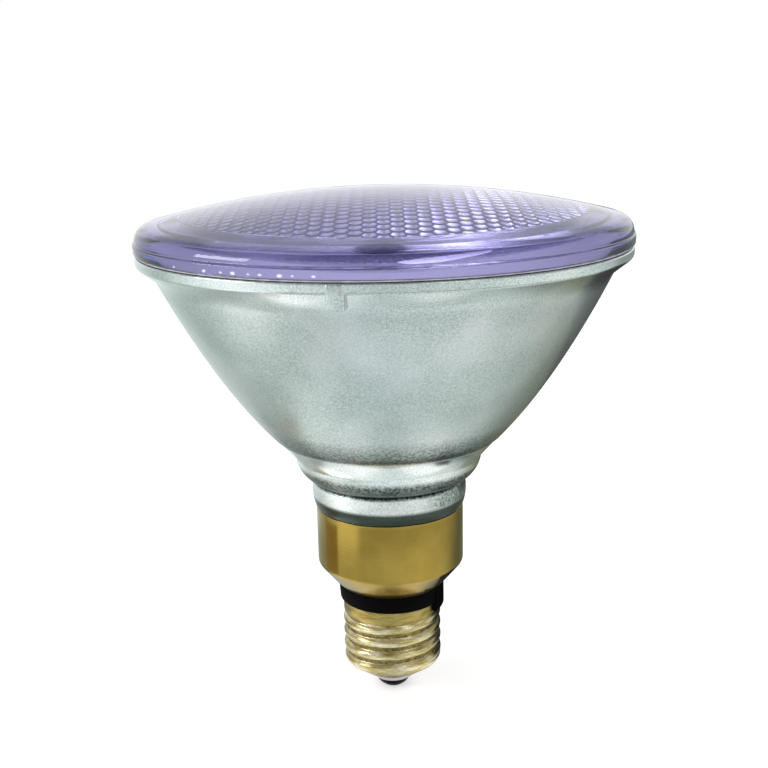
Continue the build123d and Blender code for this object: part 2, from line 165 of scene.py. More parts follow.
# the right-hand end of the lower ring is darker and spotted: painted shade on that side
side = addNode(tree, "ShaderNodeMapRange", inputs={
    "Value": position["X"], "From Min": bowlLook["shadeFrom"] * mm, "From Max": bowlLook["shadeTo"] * mm})
rightEndShade = addNode(tree, "ShaderNodeMath", {"operation": "MULTIPLY"}, {
    0: side.outputs["Result"], 1: lowRing}).outputs["Value"]
colour = litAndShadedBands
for share, layer in ((1.0, tone), (patches, fine), (grainy, coarse), (rightEndShade, spots)):
    colour = addNode(tree, "ShaderNodeMix", {"data_type": "RGBA", "blend_type": "MULTIPLY"},
                     {0: share, 6: colour, 7: layer}).outputs[2]
tree.links.new(colour, sockets["Base Color"])
addNode(tree, "ShaderNodeMapRange", feeds={"Result": sockets["Roughness"]}, inputs={
    "Value": grainy, "From Max": 0.06, "To Min": 0.17, "To Max": 0.36})
stipple = addNode(tree, "ShaderNodeMath", {"operation": "MULTIPLY"}, {0: grain, 1: grainy})
addNode(tree, "ShaderNodeBump", feeds={"Normal": sockets["Normal"]}, inputs={
    "Height": stipple.outputs["Value"], "Strength": 0.5, "Distance": 0.1 * mm})

# Spun brass, tumbled and lacquered: a warm satin metal with faint turning lines round the axis, which are
# drawn coarser than life so that they show.
skirtBrass, tree, sockets, place = newMaterial("skirtBrass", {"Metallic": 1.0})
patina = mottle(tree, sockets, place, 5.0, 4.0, [(0.3, "#9A823B"), (0.7, "#A48C44")])
addNode(tree, "ShaderNodeMapRange", feeds={"Result": sockets["Roughness"]}, inputs={
    "Value": patina, "To Min": 0.12, "To Max": 0.17})
stretched = addNode(tree, "ShaderNodeMapping", inputs={"Vector": place, "Scale": (0.06, 0.06, 1.0)})
turning = addNode(tree, "ShaderNodeTexNoise", inputs={
    "Vector": stretched.outputs["Vector"], "Scale": grainScale(0.5), "Detail": 3.0, "Roughness": 0.55})
addNode(tree, "ShaderNodeBump", feeds={"Normal": sockets["Normal"]}, inputs={
    "Height": turning.outputs["Fac"], "Strength": 0.18, "Distance": 0.05 * mm})

# Rolled brass sheet, thinly plated: paler and brighter than the skirt, with duller brass where the plating is
# worn, a darker collar that is painted shade and reflection of the black ring above it, and marks of the
# roller that are drawn coarser than life so that they show.
shellLook = {"plated": [(0.32, "#93834C"), (0.5, "#C0B280"), (0.66, "#E6E1CC")],
             "collarShade": [(0.35, "#86743A"), (0.65, "#B3A062")], "collarShadeFrom": 22.3, "collarShadeTo": 22.9}
shellBrass, tree, sockets, place = newMaterial("shellBrass", {"Metallic": 1.0})
wear, rolling = [
    addNode(tree, "ShaderNodeTexNoise", inputs={
        "Vector": addNode(tree, "ShaderNodeMapping", inputs={
            "Vector": place, "Scale": (squeeze, squeeze, 1.0)}).outputs["Vector"],
        "Scale": grainScale(size), "Detail": detail, "Roughness": rough}).outputs["Fac"]
    for squeeze, size, detail, rough in ((0.22, 1.1, 5.0, 0.65), (0.08, 0.45, 4.0, 0.55))]
plated, collarShade = [
    addNode(tree, "ShaderNodeValToRGB", {"stops": shellLook[layer]}, {"Fac": wear}).outputs["Color"]
    for layer in ("plated", "collarShade")]
level = addNode(tree, "ShaderNodeSeparateXYZ", inputs={0: place}).outputs["Z"]
# the collar takes the darker brass: painted shade and reflection of the black ring above it
collar = addNode(tree, "ShaderNodeMapRange", inputs={
    "Value": level, "From Min": shellLook["collarShadeFrom"] * mm, "From Max": shellLook["collarShadeTo"] * mm})
brass = addNode(tree, "ShaderNodeMix", {"data_type": "RGBA"}, {
    0: collar.outputs["Result"], 6: plated, 7: collarShade})
tree.links.new(brass.outputs[2], sockets["Base Color"])
addNode(tree, "ShaderNodeMapRange", feeds={"Result": sockets["Roughness"]}, inputs={
    "Value": wear, "To Min": 0.2, "To Max": 0.34})
addNode(tree, "ShaderNodeBump", feeds={"Normal": sockets["Normal"]}, inputs={
    "Height": rolling, "Strength": 0.5, "Distance": 0.12 * mm})

# The same brass, dark olive brown and dull, in the roots of the thread and in the pit: tarnish and grease,
# and in the roots also painted shade of the valleys.
tarnishAndShade, tree, sockets, place = newMaterial("tarnishAndShade", {"Metallic": 1.0, "Roughness": 0.5})
mottle(tree, sockets, place, 1.0, 4.0, [(0.35, "#5E5130"), (0.7, "#978652")])

# Black phenolic, pressed in a mould: almost black, half matt, with a faint grain of its filler.
blackPhenolic, tree, sockets, place = newMaterial("blackPhenolic", {
    "Roughness": 0.55, "IOR": 1.6, "Specular IOR Level": 0.02})
filler = mottle(tree, sockets, place, 0.7, 4.0, [(0.35, "#020202"), (0.7, "#060607")])
addNode(tree, "ShaderNodeBump", feeds={"Normal": sockets["Normal"]}, inputs={
    "Height": filler, "Strength": 0.25, "Distance": 0.05 * mm})

# Pale insulating glass of the base, fused in place: smooth, faintly pink and a little cloudy.
paleInsulator, tree, sockets, place = newMaterial("paleInsulator", {"Roughness": 0.28, "IOR": 1.5})
mottle(tree, sockets, place, 3.0, 3.0, [(0.3, "#B8ACAE"), (0.7, "#DCD2D3")])

# Tinned copper contact, dipped: dark blue-grey metal, blotched, whose near-black tone is a painted dark
# reflection of its surroundings.
darkContact, tree, sockets, place = newMaterial("darkContact", {"Metallic": 1.0, "Roughness": 0.38})
blotch = mottle(tree, sockets, place, 1.6, 4.0, [(0.35, "#0D0D13"), (0.65, "#25262F")])
addNode(tree, "ShaderNodeBump", feeds={"Normal": sockets["Normal"]}, inputs={
    "Height": blotch, "Strength": 0.3, "Distance": 0.1 * mm})

# Painted shade in the narrow grooves of the joint, nearly black and matt; the dark flags of the stage use the
# same black.
shadeBlack, tree, sockets, place = newMaterial("shadeBlack", {"Roughness": 0.8})
mottle(tree, sockets, place, 0.8, 3.0, [(0.35, "#17171B"), (0.7, "#35353C")])

# Air bubbles caught in the glass, drawn as pale dots with a faint glow: the glow is painted light for the
# light they scatter.
bubbleGlow, tree, sockets, place = newMaterial("bubbleGlow", {
    "Roughness": 0.2, "IOR": 1.47, "Emission Color": "#F3F0FF", "Emission Strength": 0.5})
mottle(tree, sockets, place, 0.5, 2.0, [(0.3, "#E4DEFA"), (0.7, "#FFFFFF")])

# Sealing resin, cured in the joint: pale grey, half matt and a little cloudy.
sealResin, tree, sockets, place = newMaterial("sealResin", {"Roughness": 0.45, "IOR": 1.5})
mottle(tree, sockets, place, 1.5, 3.0, [(0.35, "#C8C8CE"), (0.65, "#E6E6EA")])

# Steatite ceramic, pressed and fired unglazed: chalky off-white.
steatite, tree, sockets, place = newMaterial("steatite", {"Roughness": 0.75, "IOR": 1.55})
chalk = mottle(tree, sockets, place, 1.2, 4.0, [(0.3, "#D6D2C8"), (0.7, "#EAE7DF")])
addNode(tree, "ShaderNodeBump", feeds={"Normal": sockets["Normal"]}, inputs={
    "Height": chalk, "Strength": 0.2, "Distance": 0.05 * mm})

# Fused quartz, drawn as tube and pinched, blackened inside by the hot filament: smoky but smooth, with faint
# draw lines.
smokyQuartz, tree, sockets, place = newMaterial("smokyQuartz", {
    "Base Color": "#45454F", "Roughness": 0.02, "IOR": 1.46, "Transmission Weight": 1.0})
draw = addNode(tree, "ShaderNodeTexNoise", inputs={
    "Vector": place, "Scale": grainScale(2.0), "Detail": 1.0, "Roughness": 0.55})
addNode(tree, "ShaderNodeBump", feeds={"Normal": sockets["Normal"]}, inputs={
    "Height": draw.outputs["Fac"], "Strength": 0.1, "Distance": 0.05 * mm})

# Drawn nickel and molybdenum wire: grey metal with a soft sheen.
greyWire, tree, sockets, place = newMaterial("greyWire", {"Metallic": 1.0, "Roughness": 0.3})
mottle(tree, sockets, place, 0.8, 3.0, [(0.3, "#7C7A77"), (0.7, "#A6A4A0")])

# Basing cement, baked in the skirt: sandy and matt.
basingCement, tree, sockets, place = newMaterial("basingCement", {"Roughness": 0.85})
sand = mottle(tree, sockets, place, 0.6, 5.0, [(0.3, "#8D8675"), (0.7, "#B7B09E")])
addNode(tree, "ShaderNodeBump", feeds={"Normal": sockets["Normal"]}, inputs={
    "Height": sand, "Strength": 0.4, "Distance": 0.1 * mm})

# Kraft card of the stage: matt brown paper with its fibres.
kraftCard, tree, sockets, place = newMaterial("kraftCard", {"Roughness": 0.9})
mottle(tree, sockets, place, 1.5, 4.0, [(0.35, "#C3AF8D"), (0.65, "#D0BE9E")])
print("materials made")


def ringPoint(radius, angle, level):
    return (radius * mm * math.cos(angle), radius * mm * math.sin(angle), level * mm)


def roundedOutline(points, steps=4):
    # points are (radius, height, corner radius) in millimetres, round a closed outline
    outline = []
    for index, (radius, level, corner) in enumerate(points):
        here = Vector((radius, level))
        if corner == 0:
            outline.append(here)
            continue
        before = (Vector(points[index - 1][:2]) - here).normalized()
        after = (Vector(points[(index + 1) % len(points)][:2]) - here).normalized()
        half = before.angle(after) / 2
        centre = here + (before + after).normalized() * corner / math.sin(half)
        first = here + before * corner / math.tan(half) - centre
        last = here + after * corner / math.tan(half) - centre
        for step in range(steps + 1):
            outline.append(centre + first.lerp(last, step / steps).normalized() * corner)
    return outline


def arcPoints(start, end, radius, steps):
    # arc that bulges away from the axis between two points
    a, b = Vector(start), Vector(end)
    middle, half = (a + b) / 2, (b - a).length / 2
    across = Vector(((b - a).y, -(b - a).x)).normalized()
    centre = middle - across * math.sqrt(radius ** 2 - half ** 2)
    first, last = a - centre, b - centre
    return [centre + first.lerp(last, k / steps).normalized() * radius for k in range(steps + 1)]


def joinRings(mesh, rings, closed):
    # rings are lists of vertices; neighbours are joined by quads, and a ring of one vertex by triangles
    pairs = list(zip(rings, rings[1:] + rings[:1]))
    for lower, upper in pairs if closed else pairs[:-1]:
        count = max(len(lower), len(upper))
        for i in range(count):
            corners = [lower[i % len(lower)], lower[(i + 1) % len(lower)],
                       upper[(i + 1) % len(upper)], upper[i % len(upper)]]
            corners = [v for k, v in enumerate(corners) if v not in corners[:k]]
            if len(corners) > 2:
                mesh.faces.new(corners)


def spinOutline(mesh, outline, segments):
    rings = []
    for radius, level in outline:
        count = segments if radius > 1e-6 else 1  # on the axis a ring is one vertex
        angles = [2 * math.pi * i / segments for i in range(count)]
        rings.append([mesh.verts.new(ringPoint(radius, t, level)) for t in angles])
    joinRings(mesh, rings, True)


def finishPiece(name, mesh, materials, node, sharp=40):
    bmesh.ops.recalc_face_normals(mesh, faces=mesh.faces)
    data = bpy.data.meshes.new(name)
    mesh.to_mesh(data)
    mesh.free()
    data.polygons.foreach_set("use_smooth", [True] * len(data.polygons))
    data.set_sharp_from_angle(angle=math.radians(sharp))
    for material in materials:
        data.materials.append(material)
    piece = bpy.data.objects.new(name, data)
    scene.collection.objects.link(piece)
    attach(piece, "root")
    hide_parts(node)
    return piece


# Lens: smooth dome outside, and on the inner face a field of round lenslets packed like honeycomb
lens = {"foot": (57.4, 121.0806), "rim": 61.5, "beadTop": 123.2806, "beadLift": 0.1, "beadStep": 0.45,
        "sideTop": 123.9306, "edgeRound": 3.6, "edgeSteps": 6, "domeRadius": 240.0, "domeCentre": -105.3824,
        "domeRings": 9, "margin": (54.0, 124.4729), "fieldRadius": 49.6, "fieldThickness": 3.4,
        "fieldStep": 0.5, "spacing": 3.36, "lensletRadius": 2.69, "division": 4,
        "rounds": {"field": 0.15, "margin": 0.8, "foot": 0.3, "bead": 0.5, "step": 0.3}, "roundSteps": 3,
        "bubbles": [(-137.5, 0.2), (-128.0, 0.3), (-123.6, 0.22), (-120.6, 0.36), (-117.0, 0.2),
                    (-114.4, 0.28), (-110.2, 0.36), (-107.6, 0.2), (-103.4, 0.28)],  # angle and radius
        "bubblePlace": (61.0, 0.0, 121.85), "bubbleStretch": 1.8, "footSlack": 0.001}
lens["inner"] = lens["domeRadius"] - lens["fieldThickness"]


def sag(distance):
    return lens["lensletRadius"] - math.sqrt(lens["lensletRadius"] ** 2 - distance ** 2)


def buildField(mesh):
    limit, spacing, division = lens["fieldRadius"], lens["spacing"], lens["division"]
    corner = spacing / math.sqrt(3)
    known = {}

    def fieldVertex(x, y, centre):
        radius = math.hypot(x, y)
        outside = radius >= limit
        if outside:
            x, y, radius = x * limit / radius, y * limit / radius, limit
        key = (round(x * 2000), round(y * 2000))  # points that agree to half a micrometre are one vertex
        if key not in known:
            level = lens["domeCentre"] + math.sqrt(lens["inner"] ** 2 - radius ** 2)
            if not outside:
                level -= sag(corner) - sag(min(corner, math.hypot(x - centre[0], y - centre[1])))
            known[key] = (mesh.verts.new((x * mm, y * mm, level * mm)), outside)
        return known[key]

    def fillSector(grid):
        for i in range(division):
            for j in range(division - i):
                wanted = [((i, j), (i + 1, j), (i, j + 1))]
                if i + j < division - 1:
                    wanted.append(((i + 1, j), (i + 1, j + 1), (i, j + 1)))
                for triple in wanted:
                    found = [grid[t] for t in triple]
                    vertices = [f[0] for f in found]
                    if all(f[1] for f in found) or len(set(vertices)) < 3:
                        continue
                    if mesh.faces.get(vertices) is None:
                        mesh.faces.new(vertices)

    rows = int(limit / (spacing * math.sqrt(3) / 2)) + 2
    columns = int(limit / spacing) + 2
    for row in range(-rows, rows + 1):
        for column in range(-columns, columns + 1):
            centre = (spacing * math.sqrt(3) / 2 * row, spacing * (column + (row % 2) / 2))
            if math.hypot(*centre) > limit + corner:
                continue
            for sector in range(6):
                angles = [math.radians(60 * (sector + k)) for k in (0, 1)]
                a, b = [(corner * math.cos(t) / division, corner * math.sin(t) / division) for t in angles]
                fillSector({
                    (i, j): fieldVertex(
                        centre[0] + i * a[0] + j * b[0], centre[1] + i * a[1] + j * b[1], centre)
                    for i in range(division + 1) for j in range(division + 1 - i)})


def borderLoop(mesh):
    # the field's border is one loop of vertices
    following = {}
    for edge in mesh.edges:
        if len(edge.link_faces) == 1:
            for a, b in (edge.verts, reversed(edge.verts)):
                following.setdefault(a, []).append(b)
    loop = [next(iter(following))]
    previous = None
    while True:
        step = [v for v in following[loop[-1]] if v != previous]
        previous = loop[-1]
        if step[0] == loop[0] or len(loop) > len(following):
            return loop
        loop.append(step[0])


def lensOutline():
    # from the field's border over the margin, foot, bead and shoulder to the top of the dome
    limit, rounds = lens["fieldRadius"], lens["rounds"]
    edgeLevel = lens["domeCentre"] + math.sqrt(lens["inner"] ** 2 - limit ** 2)
    sideRadius = lens["rim"] - lens["beadStep"]
    outline = roundedOutline([
        (limit, edgeLevel, 0), (limit, edgeLevel - lens["fieldStep"], rounds["field"]),
        (*lens["margin"], rounds["margin"]), (*lens["foot"], rounds["foot"]),
        (lens["rim"], lens["foot"][1], rounds["bead"]),
        (lens["rim"], lens["beadTop"] + lens["beadLift"], rounds["bead"]),
        (sideRadius, lens["beadTop"] + lens["beadStep"], rounds["step"]), (sideRadius, lens["sideTop"], 0)],
        lens["roundSteps"])[1:]
    tilt = math.asin((sideRadius - lens["edgeRound"]) / (lens["domeRadius"] - lens["edgeRound"]))
    for step in range(1, lens["edgeSteps"] + 1):
        turn = (math.pi / 2 - tilt) * step / lens["edgeSteps"]
        outline.append((sideRadius - lens["edgeRound"] * (1 - math.cos(turn)),
                        lens["sideTop"] + lens["edgeRound"] * math.sin(turn)))
    for step in range(1, lens["domeRings"] + 1):
        slope = tilt * (1 - step / lens["domeRings"])
        outline.append((lens["domeRadius"] * math.sin(slope),
                        lens["domeCentre"] + lens["domeRadius"] * math.cos(slope)))
    return outline


def buildLens():
    mesh = bmesh.new()
    buildField(mesh)
    loop = borderLoop(mesh)
    outline = lensOutline()
    angles = [math.atan2(v.co.y, v.co.x) for v in loop]
    rings = [loop]
    for radius, level in outline[:-1]:
        rings.append([mesh.verts.new(ringPoint(radius, t, level)) for t in angles])
    rings.append([mesh.verts.new((0, 0, outline[-1][1] * mm))])
    joinRings(mesh, rings, False)
    # the resin wets the foot of the rim, so the glass shows the resin there and no mirror of its own
    footLevel = (lens["foot"][1] + lens["footSlack"]) * mm
    for face in mesh.faces:
        face.material_index = 2 if all(v.co.z < footLevel for v in face.verts) else 0
    for angle, radius in lens["bubbles"]:
        shift = Matrix.Translation(Vector(lens["bubblePlace"]) * mm)
        spot = Matrix.Rotation(math.radians(angle), 4, "Z") @ shift
        stretch = Matrix.Diagonal((1, lens["bubbleStretch"], 1, 1))
        made = bmesh.ops.create_icosphere(mesh, subdivisions=2, radius=radius * mm, matrix=spot @ stretch)
        for face in {f for v in made["verts"] for f in v.link_faces}:
            face.material_index = 1
    return finishPiece("violetLens", mesh, [violetGlass, bubbleGlow, sealResin], "lens", 20)


lensPiece = buildLens()
print("lens made:", sum(len(p.vertices) - 2 for p in lensPiece.data.polygons), "triangles")

# Seal: a rounded bead of resin in the joint, with painted shade in the groove above and below it
seal = {"segments": 256, "bottom": 120.4806, "top": 121.0806, "inner": 57.4, "outer": 60.6, "lip": 0.5,
        "bulge": 0.35, "bulgeSteps": 6, "shadeStrip": 0.13}


def buildSeal():
    mesh = bmesh.new()
    low, high, outer, shadeStrip, steps = [seal[key] for key in ("bottom", "top", "outer", "shadeStrip", "bulgeSteps")]
    outline = [(seal["inner"], low), (outer - seal["lip"], low), (outer, low + shadeStrip)]
    for k in range(1, steps):
        share = k / steps
        outline.append((outer + seal["bulge"] * math.sin(math.pi * share),
                        low + shadeStrip + (high - low - 2 * shadeStrip) * share))
    outline += [(outer, high - shadeStrip), (outer - seal["lip"], high), (seal["inner"], high)]
    spinOutline(mesh, outline, seal["segments"])
    mesh.faces.ensure_lookup_table()
    # the strips beside the grooves take the painted shade
    for index, face in enumerate(mesh.faces):
        face.material_index = 1 if index // seal["segments"] in (1, steps + 2) else 0
    finishPiece("sealBead", mesh, [sealResin, shadeBlack], "seal_ring", 60)


buildSeal()

# Reflector: bowl, moulded rings and neck outside, mirror inside, and the locating lug under the flange
bowl = {"segments": 224, "neckBottom": 41.6222, "neckRadius": 18.05, "neckBore": 15.45, "beadBottom": 52.9222,
        "beadRadius": 19.4, "lowerTop": 59.9222, "lowerRadius": 19.8, "lowerRound": 12.0,
        "upperBottom": 60.4222, "upperTop": 66.7222, "upperRadius": 24.2, "upperRound": 7.0, "ringSteps": 10,
        "groove": 0.25, "foot": 72.7222, "footRadius": 29.7543, "footStep": 0.75, "footDrop": 0.5,
        "focal": 13.9491, "vertex": 56.8553, "mouth": 114.8806, "mouthRadius": 56.9, "bowlSteps": 26,
        "flange": (61.25, 118.2806, 120.4806), "flangeRounds": (1.2, 0.35), "flangeBore": 56.3592,
        "mirrorFocal": 13.2, "mirrorVertex": 60.3222, "heelTop": 62.2222, "heelBottom": 58.0222, "well": 8.1,
        "bareStrips": 3}
lug = {"angle": -99.5, "inner": 56.7, "outer": 61.35, "width": 3.8, "bottom": 114.7, "top": 120.35,
       "edge": 0.4}


def addLug(mesh):
    made = bmesh.ops.create_cube(mesh, size=1.0)["verts"]
    size = Vector((lug["outer"] - lug["inner"], lug["width"], lug["top"] - lug["bottom"])) * mm
    bmesh.ops.scale(mesh, vec=size, verts=made)
    edges = list({e for v in made for e in v.link_edges})
    rounded = bmesh.ops.bevel(
        mesh, geom=edges, offset=lug["edge"] * mm, segments=3, affect="EDGES", profile=0.5)
    whole = list({v for f in rounded["faces"] for v in f.verts} | {v for v in made if v.is_valid})
    shift = Matrix.Rotation(math.radians(lug["angle"]), 4, "Z") @ Matrix.Translation(
        Vector((lug["outer"] + lug["inner"], 0, lug["top"] + lug["bottom"])) * mm / 2)
    bmesh.ops.transform(mesh, matrix=shift, verts=whole)


def buildReflector():
    mesh = bmesh.new()
    steps = bowl["bowlSteps"]
    outline = [(bowl["neckBore"], bowl["neckBottom"]), (bowl["neckRadius"], bowl["neckBottom"]),
               (bowl["neckRadius"], bowl["beadBottom"])]
    outline += arcPoints((bowl["beadRadius"], bowl["beadBottom"]), (bowl["lowerRadius"], bowl["lowerTop"]),
                         bowl["lowerRound"], bowl["ringSteps"])
    outline.append((bowl["lowerRadius"] - bowl["groove"], (bowl["lowerTop"] + bowl["upperBottom"]) / 2))
    outline += arcPoints((bowl["lowerRadius"], bowl["upperBottom"]), (bowl["upperRadius"], bowl["upperTop"]),
                         bowl["upperRound"], bowl["ringSteps"])
    outline.append((bowl["footRadius"] - bowl["footStep"], bowl["foot"] - bowl["footDrop"]))
    for k in range(steps + 1):
        radius = bowl["footRadius"] + (bowl["mouthRadius"] - bowl["footRadius"]) * k / steps
        outline.append((radius, bowl["vertex"] + radius ** 2 / (4 * bowl["focal"])))
    flangeRadius, flangeBottom, flangeTop = bowl["flange"]
    lowerRound, upperRound = bowl["flangeRounds"]
    outline += roundedOutline([
        (bowl["mouthRadius"], bowl["mouth"], 0), (flangeRadius, flangeBottom, lowerRound),
        (flangeRadius, flangeTop, upperRound), (bowl["flangeBore"], flangeTop, 0)])[1:]
    silvered = len(outline) - 1 + bowl["bareStrips"]
    heel = len(outline) + steps
    heelRadius = math.sqrt(4 * bowl["mirrorFocal"] * (bowl["heelTop"] - bowl["mirrorVertex"]))
    for k in range(1, steps + 1):
        radius = bowl["flangeBore"] + (heelRadius - bowl["flangeBore"]) * k / steps
        outline.append((radius, bowl["mirrorVertex"] + radius ** 2 / (4 * bowl["mirrorFocal"])))
    outline += [(bowl["well"], bowl["heelTop"]), (bowl["well"], bowl["heelBottom"]),
                (bowl["neckBore"], bowl["heelBottom"])]
    spinOutline(mesh, outline, bowl["segments"])
    mesh.faces.ensure_lookup_table()
    for index, face in enumerate(mesh.faces):
        face.material_index = 1 if silvered <= index // bowl["segments"] < heel else 0
    addLug(mesh)
    return finishPiece("silveredBowl", mesh, [bowlGlass, mirrorFilm], "reflector", 50)


bowlPiece = buildReflector()
print("reflector made:", len(bowlPiece.data.polygons), "faces")

# Skirt: spun brass with a soft bend, a rolled top edge and slight dents
skirt = {"segments": 180, "top": 52.6222, "corner": 37.2222, "bottom": 30.8222, "radius": 19.3, "foot": 14.03,
         "mouth": 12.83, "wall": 0.45, "bend": 1.2, "footRound": 0.25, "topRounds": (0.2, 0.15),
         "row": 2.0, "rows": 7, "insideCorner": 0.16, "insideFoot": 0.21, "dent": 0.05, "dentSize": 7.0,
         "dentShift": 0.6}


def buildSkirt():
    mesh = bmesh.new()
    radius, wall, top, corner, bottom = [skirt[key] for key in ("radius", "wall", "top", "corner", "bottom")]
    outerRound, innerRound = skirt["topRounds"]
    outline = roundedOutline([
        (skirt["mouth"], bottom, 0), (skirt["foot"], bottom, skirt["footRound"]),
        (radius, corner, skirt["bend"]),
        *[(radius, corner + k * skirt["row"], 0) for k in range(1, skirt["rows"] + 1)],
        (radius, top, outerRound), (radius - wall, top, innerRound),
        (radius - wall, corner + skirt["insideCorner"], 0),
        (skirt["foot"] - skirt["insideFoot"], bottom + wall, 0), (skirt["mouth"], bottom + wall, 0)], 5)
    spinOutline(mesh, outline, skirt["segments"])
    for v in mesh.verts:
        reach = noise.noise(v.co / (skirt["dentSize"] * mm)) - skirt["dentShift"]
        v.co += Vector((v.co.x, v.co.y, 0)).normalized() * skirt["dent"] * mm * reach
    finishPiece("brassSkirt", mesh, [skirtBrass], "skirt", 45)


buildSkirt()

# Insulating ring: tapered band with rounded edges and one tab beside the shell's collar
ring = {"segments": 160, "bottom": 26.4222, "top": 30.8222, "radius": 14.03, "taper": 0.35, "edgeRound": 0.35,
        "topRound": 0.2, "spigot": 12.43, "spigotDepth": 2.4, "bore": 10.43}
tab = {"bottom": 24.2222, "top": 30.6222, "inner": 13.03, "start": -34.0, "sweep": 48.0, "steps": 16,
       "edgeRound": 0.35, "cornerRound": 0.1}


def addTab(mesh):
    section = roundedOutline([
        (tab["inner"], tab["bottom"], tab["cornerRound"]), (ring["radius"], tab["bottom"], tab["edgeRound"]),
        (ring["radius"], tab["top"], tab["cornerRound"]), (tab["inner"], tab["top"], 0)], 3)
    rings = []
    for k in range(tab["steps"] + 1):
        angle = math.radians(tab["start"] + tab["sweep"] * k / tab["steps"])
        rings.append([mesh.verts.new(ringPoint(radius, angle, level)) for radius, level in section])
    joinRings(mesh, rings, False)
    mesh.faces.new(rings[0])
    mesh.faces.new(rings[-1])


def buildRing():
    mesh = bmesh.new()
    spigotBottom = ring["bottom"] - ring["spigotDepth"]
    spinOutline(mesh, roundedOutline([
        (ring["bore"], spigotBottom, 0), (ring["spigot"], spigotBottom, 0),
        (ring["spigot"], ring["bottom"], 0),
        (ring["radius"] - ring["taper"], ring["bottom"], ring["edgeRound"]),
        (ring["radius"], ring["top"], ring["topRound"]), (ring["bore"], ring["top"], 0)]), ring["segments"])
    addTab(mesh)
    finishPiece("blackRing", mesh, [blackPhenolic], "insulator_ring")


buildRing()

# Screw shell: the rolled thread is one continuous skin, and the ridge's height depends on how far a point
# lies from the helix
shell = {"segments": 256, "mouth": 8.2, "bottom": 5.3, "coneRadius": 12.0972, "coneTop": 8.0288,
         "shoulderRadius": 12.95, "shoulderTop": 9.6671, "round": 2.0, "roundSteps": 5, "rootRadius": 12.3,
         "tubeBottom": 11.1171, "tubeTop": 22.1222, "collarRadius": 12.93, "collarBottom": 22.8222,
         "top": 26.4222, "wall": 0.4, "coneInside": (11.8677, 8.3565), "mouthInside": 5.7883, "row": 0.14}
thread = {"pitch": 3.629, "turns": 3.625, "startAngle": 225.0, "depth": 0.75, "crestHalf": 0.72,
          "crestRise": 0.165, "ridgeHalf": 1.69, "sink": 0.2, "waver": 0.13, "waverTurns": 2.2,
          "waverHeight": 9.0, "rootDarkTop": 0.1, "rootDarkRise": 0.03}
pit = {"angle": -46.0, "level": 20.15, "spread": 0.33, "stain": 0.3025, "depth": 0.3}


def ridgeHeight(offset):
    offset = abs(offset)
    if offset < thread["crestHalf"]:
        return thread["depth"] - thread["crestRise"] * (offset / thread["crestHalf"]) ** 2
    if offset > thread["ridgeHalf"]:
        return -shell["rootRadius"]
    edge = thread["depth"] - thread["crestRise"]
    fall = (edge + thread["sink"]) / (thread["ridgeHalf"] - thread["crestHalf"])
    return edge - fall * (offset - thread["crestHalf"])


def crestOffset(angle, level):
    # signed distance along the axis to the nearest crest, with the small waver of a hand-set roller
    turned = ((math.degrees(angle) - thread["startAngle"]) % 360) / 360
    waver = thread["waver"] * noise.noise(Vector((
        thread["waverTurns"] * math.cos(angle), thread["waverTurns"] * math.sin(angle),
        level / thread["waverHeight"])))
    offsets = [level + waver - shell["shoulderTop"] - (turn + turned) * thread["pitch"]
               for turn in range(int(thread["turns"]) + 1) if turn + turned <= thread["turns"]]
    return min(offsets, key=abs)


def pitDistance(angle, level):
    across = (angle - math.radians(pit["angle"]) + math.pi) % (2 * math.pi) - math.pi
    return math.hypot(across * shell["rootRadius"], level - pit["level"])


def shellRadius(angle, level, plain):
    radius = max(plain, shell["rootRadius"] + ridgeHeight(crestOffset(angle, level)))
    return radius - pit["depth"] * math.exp(-((pitDistance(angle, level) / pit["spread"]) ** 2))


def buildShell():
    mesh = bmesh.new()
    knots = [(shell["mouth"], shell["bottom"]), (shell["coneRadius"], shell["coneTop"])]
    shoulder = (shell["shoulderRadius"], shell["shoulderTop"])
    knots += arcPoints(knots[1], shoulder, shell["round"], shell["roundSteps"])[1:]
    knots += [(shell["rootRadius"], shell["tubeBottom"]), (shell["rootRadius"], shell["tubeTop"]),
              (shell["collarRadius"], shell["collarBottom"]), (shell["collarRadius"], shell["top"])]
    levels = [shell["bottom"]]
    while levels[-1] < shell["top"] - shell["row"]:
        levels.append(levels[-1] + shell["row"])
    levels.append(shell["top"])
    angles = [2 * math.pi * i / shell["segments"] for i in range(shell["segments"])]
    rings = []
    for level in levels:
        for (r0, z0), (r1, z1) in zip(knots, knots[1:]):
            if z0 <= level <= z1:
                plain = r0 + (r1 - r0) * (level - z0) / (z1 - z0)
        rings.append([mesh.verts.new(ringPoint(shellRadius(t, level, plain), t, level)) for t in angles])
    wall = shell["wall"]
    for radius, level in [
            (shell["collarRadius"] - wall, shell["top"]),
            (shell["collarRadius"] - wall, shell["collarBottom"]),
            (shell["rootRadius"] - wall, shell["tubeTop"]), (shell["rootRadius"] - wall, shell["tubeBottom"]),
            (shell["shoulderRadius"] - wall, shell["shoulderTop"]), shell["coneInside"],
            (shell["mouth"], shell["mouthInside"])]:
        rings.append([mesh.verts.new(ringPoint(radius, t, level)) for t in angles])
    joinRings(mesh, rings, True)
    for face in mesh.faces:
        middle = face.calc_center_median() / mm
        inThread = shell["shoulderTop"] < middle.z < shell["collarBottom"] + thread["rootDarkTop"]
        # the roots take the dark brass: tarnish and painted shade of the valleys
        inRoot = inThread and middle.xy.length < shell["rootRadius"] + thread["rootDarkRise"]
        inPit = pitDistance(math.atan2(middle.y, middle.x), middle.z) < pit["stain"]
        face.material_index = 1 if inRoot or inPit else 0
    finishPiece("rolledShell", mesh, [shellBrass, tarnishAndShade], "screw_shell", 60)


buildShell()

